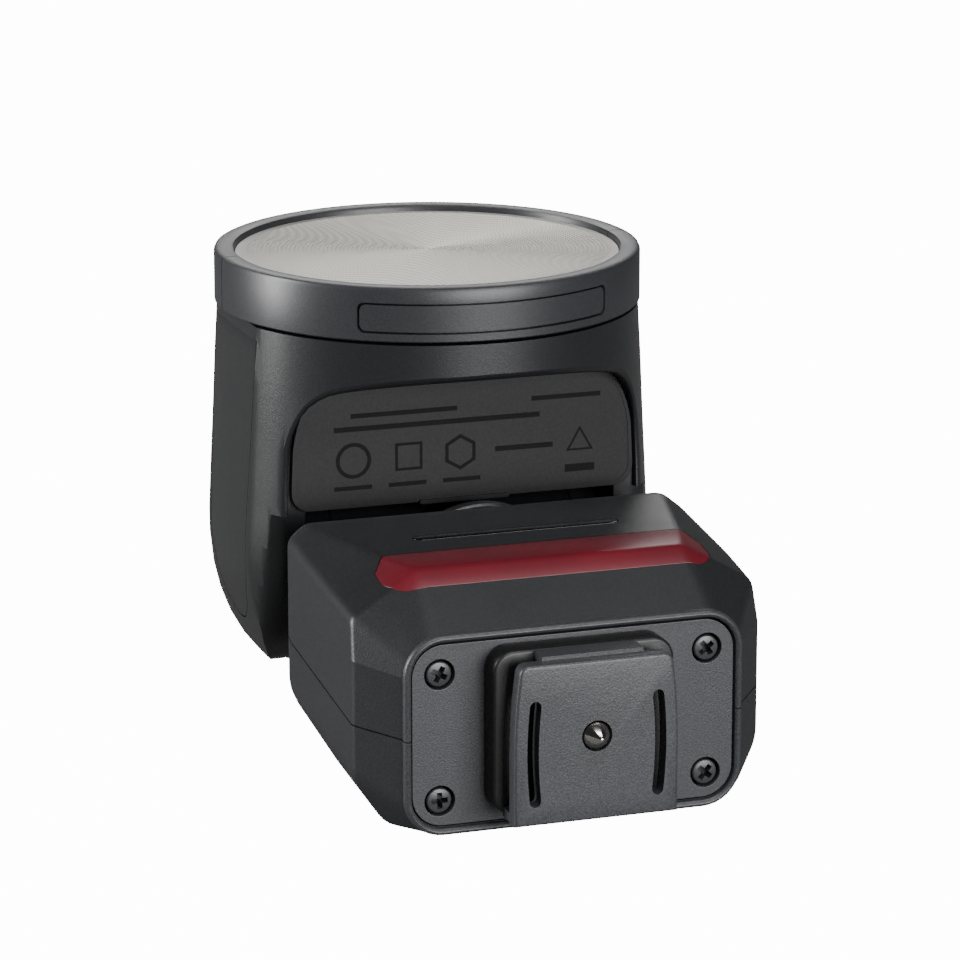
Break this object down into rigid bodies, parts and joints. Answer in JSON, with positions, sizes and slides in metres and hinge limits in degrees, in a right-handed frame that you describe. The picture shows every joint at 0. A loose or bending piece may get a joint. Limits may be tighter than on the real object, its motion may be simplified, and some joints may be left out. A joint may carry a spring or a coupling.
{
  "type": "speedlight flash",
  "caption": "Compact camera flash with a round frosted lens on a head that tilts and swivels above a small faceted body with a hot-shoe foot.",
  "frame": {"origin": "centre of the bounding box's footprint, at its lowest level, with the head facing straight ahead", "axes": "+Z along the light, -Y out of the hot-shoe foot, +X to the right seen from the foot"},
  "size_m": [0.0494, 0.0842, 0.054],
  "materials": {
    "body_abs": "fine textured charcoal ABS",
    "shoe_nylon": "satin dark grey glass-filled nylon",
    "head_abs": "satin black ABS",
    "label_film": "dark grey film, left plain",
    "red_acrylic": "dark red translucent acrylic",
    "gloss_black": "gloss black",
    "key_rubber": "matt black silicone",
    "lens_acrylic": "frosted prismatic acrylic",
    "plated_steel": "nickel plated steel",
    "black_steel": "black oxide steel",
    "bright_aluminium": "polished aluminium",
    "board": "green printed circuit board",
    "cell_wrap": "heat-shrink sleeve",
    "quartz": "clear quartz tube",
    "acetal": "black acetal"
  },
  "bodies": {
    "body": {"front_shell": "body_abs", "rear_shell": "body_abs", "assist_window": "red_acrylic", "assist_lamp": "lens_acrylic", "front_badge": "gloss_black", "shoe_plate": "shoe_nylon", "plate_screw_1": "black_steel", "plate_screw_2": "black_steel", "plate_screw_3": "black_steel", "plate_screw_4": "black_steel", "hot_shoe_foot": "shoe_nylon", "contact_bush": "acetal", "battery": "cell_wrap", "main_board": "board", "charging_port": "plated_steel", "control_panel": "gloss_black", "display_window": "gloss_black", "display": "lens_acrylic"},
    "contact": {"contact_pin": "plated_steel", "contact_spring": "plated_steel"},
    "dial": {"dial": "key_rubber"},
    "set_button": {"set_button": "key_rubber"},
    "mode_button": {"mode_button": "key_rubber"},
    "power_button": {"power_button": "key_rubber"},
    "test_button": {"test_button": "key_rubber"},
    "neck": {"neck_knuckle": "head_abs", "tilt_washer_left": "acetal", "tilt_washer_right": "acetal", "swivel_retainer": "plated_steel"},
    "head": {"head_shell": "head_abs", "side_cover_left": "head_abs", "side_cover_right": "head_abs", "label_plate": "label_film", "ring_near": "head_abs", "ring_far": "head_abs", "ring_panel": "gloss_black", "fresnel_lens": "lens_acrylic", "reflector": "bright_aluminium", "flash_tube": "quartz", "flash_capacitor": "cell_wrap", "trigger_board": "board", "modelling_lamp": "lens_acrylic", "pivot_pin_left": "plated_steel", "pivot_pin_right": "plated_steel"}
  },
  "joints": [
    {"name": "neck_swivel", "type": "hinge", "parent": "body", "child": "neck", "pos_m": [0, -0.0022, 0.0167], "axis": [0, 1, 0], "range_deg": [-165, 165]},
    {"name": "head_tilt", "type": "hinge", "parent": "neck", "child": "head", "pos_m": [0, 0.01745, 0.0167], "axis": [-1, 0, 0], "range_deg": [0, 90]},
    {"name": "contact_press", "type": "slide", "parent": "body", "child": "contact", "axis": [0, 1, 0], "range_m": [0, 0.0012], "stiffness_N_per_m": 500, "springref_m": -0.0005},
    {"name": "dial_turn", "type": "hinge", "parent": "body", "child": "dial", "pos_m": [0.0086, -0.02004, 0.00163], "axis": [0, -0.1175, 0.9931], "continuous": true},
    {"name": "set_button_press", "type": "slide", "parent": "body", "child": "set_button", "axis": [0, -0.1175, 0.9931], "range_m": [0, 0.0005], "stiffness_N_per_m": 600, "springref_m": -0.0003},
    {"name": "mode_button_press", "type": "slide", "parent": "body", "child": "mode_button", "axis": [0, -0.1175, 0.9931], "range_m": [0, 0.0005], "stiffness_N_per_m": 600, "springref_m": -0.0003},
    {"name": "power_button_press", "type": "slide", "parent": "body", "child": "power_button", "axis": [0, -0.1175, 0.9931], "range_m": [0, 0.0005], "stiffness_N_per_m": 600, "springref_m": -0.0003},
    {"name": "test_button_press", "type": "slide", "parent": "body", "child": "test_button", "axis": [0, -0.1175, 0.9931], "range_m": [0, 0.0005], "stiffness_N_per_m": 600, "springref_m": -0.0003}
  ]
}
